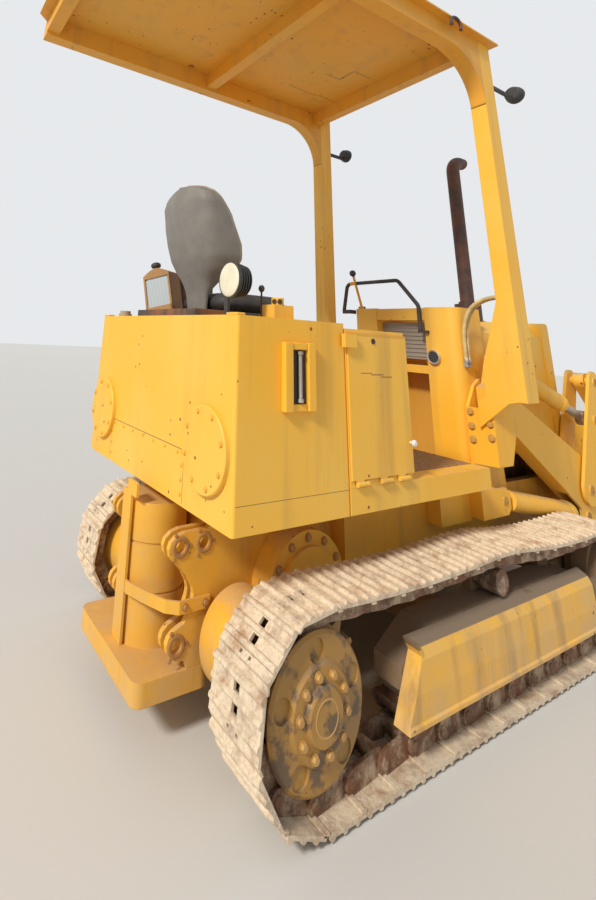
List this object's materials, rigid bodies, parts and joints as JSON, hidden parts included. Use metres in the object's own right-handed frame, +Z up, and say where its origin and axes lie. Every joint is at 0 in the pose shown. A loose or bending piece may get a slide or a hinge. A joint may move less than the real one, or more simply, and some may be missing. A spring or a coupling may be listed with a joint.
{
  "type": "track loader",
  "caption": "Small crawler loader with steel tracks, box lift arms, bell-crank bucket linkage, post canopy, rear tank with seat, hitch plates and drum counterweight.",
  "frame": {"origin": "centre of the footprint on the ground", "axes": "+X forward along the machine, +Y to its left, +Z up"},
  "size_m": [5.372, 1.78, 3.3573],
  "materials": {
    "yellow_paint": "worn satin loader yellow",
    "dark_steel": "greasy dark steel",
    "worn_steel": "dusty worn steel",
    "rusty_yellow": "rusty ochre paint",
    "chrome_rod": "bright polished rod",
    "seat_vinyl": "matt grey-black vinyl",
    "rusty_pipe": "heat-browned steel",
    "black_trim": "black plastic and rubber"
  },
  "bodies": {
    "chassis": {"main_frame": "yellow_paint", "final_drives": "yellow_paint", "rear_hitch": "yellow_paint", "counterweight": "yellow_paint", "counterweight_strap": "yellow_paint", "sprockets": "rusty_yellow", "idlers": "rusty_yellow", "track_frames": "yellow_paint", "track_rollers": "dark_steel", "carrier_rollers": "dark_steel", "track_guards": "yellow_paint", "track_right": "worn_steel", "track_left": "worn_steel", "platform": "yellow_paint", "rear_tank": "yellow_paint", "side_boxes": "yellow_paint", "sight_gauge": "yellow_paint", "seat_base": "black_trim", "seat_cushion": "seat_vinyl", "seat_back": "seat_vinyl", "canopy_posts": "yellow_paint", "canopy_roof": "yellow_paint", "cowl": "yellow_paint", "hood": "yellow_paint", "engine": "dark_steel", "radiator_guard": "yellow_paint", "exhaust": "rusty_pipe", "loader_towers": "yellow_paint", "control_levers": "dark_steel", "lamps": "black_trim", "hoses": "black_trim", "seat_console": "yellow_paint"},
    "side_door": {"side_door": "yellow_paint"},
    "arms": {"lift_arms": "yellow_paint"},
    "bucket": {"bucket": "yellow_paint", "bucket_teeth": "worn_steel"},
    "lever_right": {"lever_right": "yellow_paint"},
    "bucket_link_right": {"bucket_link_right": "yellow_paint"},
    "lift_barrel_right": {"lift_barrel_right": "yellow_paint"},
    "lift_rod_right": {"lift_rod_right": "chrome_rod"},
    "tilt_barrel_right": {"tilt_barrel_right": "yellow_paint"},
    "tilt_rod_right": {"tilt_rod_right": "chrome_rod"},
    "lever_left": {"lever_left": "yellow_paint"},
    "bucket_link_left": {"bucket_link_left": "yellow_paint"},
    "lift_barrel_left": {"lift_barrel_left": "yellow_paint"},
    "lift_rod_left": {"lift_rod_left": "chrome_rod"},
    "tilt_barrel_left": {"tilt_barrel_left": "yellow_paint"},
    "tilt_rod_left": {"tilt_rod_left": "chrome_rod"}
  },
  "joints": [
    {"name": "arm_lift", "type": "hinge", "parent": "chassis", "child": "arms", "pos_m": [-0.016, 0, 1.115], "axis": [0, -1, 0], "range_deg": [0, 75]},
    {"name": "bucket_tilt", "type": "hinge", "parent": "arms", "child": "bucket", "pos_m": [1.654, 0, 0.25], "axis": [0, 1, 0], "range_deg": [-38, 105]},
    {"name": "side_door_hinge", "type": "hinge", "parent": "chassis", "child": "side_door", "pos_m": [-1.266, -0.6935, 0.868], "axis": [1, 0, 0], "range_deg": [0, 90]},
    {"name": "lever_right", "type": "hinge", "parent": "arms", "child": "lever_right", "pos_m": [0.849, -0.48, 0.6], "axis": [0, 1, 0], "range_deg": [-22, 59]},
    {"name": "link_right", "type": "hinge", "parent": "lever_right", "child": "bucket_link_right", "pos_m": [1.15036, -0.48, 1.23181], "axis": [0, -1, 0], "range_deg": [-22, 59]},
    {"name": "tilt_cylinder_right", "type": "hinge", "parent": "arms", "child": "tilt_barrel_right", "pos_m": [0.079, -0.48, 1.34], "axis": [0, 1, 0], "range_deg": [-4, 10]},
    {"name": "tilt_stroke_right", "type": "slide", "parent": "tilt_barrel_right", "child": "tilt_rod_right", "axis": [0.9439, 0, -0.3302], "range_m": [-0.142, 0.388]},
    {"name": "lift_cylinder_right", "type": "hinge", "parent": "chassis", "child": "lift_barrel_right", "pos_m": [-0.086, -0.48, 0.628], "axis": [0, -1, 0], "range_deg": [0, 62]},
    {"name": "lift_stroke_right", "type": "slide", "parent": "lift_barrel_right", "child": "lift_rod_right", "axis": [0.9814, 0, -0.1919], "range_m": [0, 0.536]},
    {"name": "lever_left", "type": "hinge", "parent": "arms", "child": "lever_left", "pos_m": [0.849, 0.48, 0.6], "axis": [0, 1, 0], "range_deg": [-22, 59]},
    {"name": "link_left", "type": "hinge", "parent": "lever_left", "child": "bucket_link_left", "pos_m": [1.15036, 0.48, 1.23181], "axis": [0, -1, 0], "range_deg": [-22, 59]},
    {"name": "tilt_cylinder_left", "type": "hinge", "parent": "arms", "child": "tilt_barrel_left", "pos_m": [0.079, 0.48, 1.34], "axis": [0, 1, 0], "range_deg": [-4, 10]},
    {"name": "tilt_stroke_left", "type": "slide", "parent": "tilt_barrel_left", "child": "tilt_rod_left", "axis": [0.9439, 0, -0.3302], "range_m": [-0.142, 0.388]},
    {"name": "lift_cylinder_left", "type": "hinge", "parent": "chassis", "child": "lift_barrel_left", "pos_m": [-0.086, 0.48, 0.628], "axis": [0, -1, 0], "range_deg": [0, 62]},
    {"name": "lift_stroke_left", "type": "slide", "parent": "lift_barrel_left", "child": "lift_rod_left", "axis": [0.9814, 0, -0.1919], "range_m": [0, 0.536]}
  ],
  "couplings": [
    {"joint": "lever_right", "follows": "bucket_tilt", "ratio": 0.55},
    {"joint": "link_right", "follows": "bucket_tilt", "ratio": 0.55},
    {"joint": "tilt_cylinder_right", "follows": "bucket_tilt", "ratio": 0.09},
    {"joint": "tilt_stroke_right", "follows": "bucket_tilt", "m_per_rad": 0.2103},
    {"joint": "lift_cylinder_right", "follows": "arm_lift", "ratio": 0.82},
    {"joint": "lift_stroke_right", "follows": "arm_lift", "m_per_rad": 0.408},
    {"joint": "lever_left", "follows": "bucket_tilt", "ratio": 0.55},
    {"joint": "link_left", "follows": "bucket_tilt", "ratio": 0.55},
    {"joint": "tilt_cylinder_left", "follows": "bucket_tilt", "ratio": 0.09},
    {"joint": "tilt_stroke_left", "follows": "bucket_tilt", "m_per_rad": 0.2103},
    {"joint": "lift_cylinder_left", "follows": "arm_lift", "ratio": 0.82},
    {"joint": "lift_stroke_left", "follows": "arm_lift", "m_per_rad": 0.408}
  ]
}
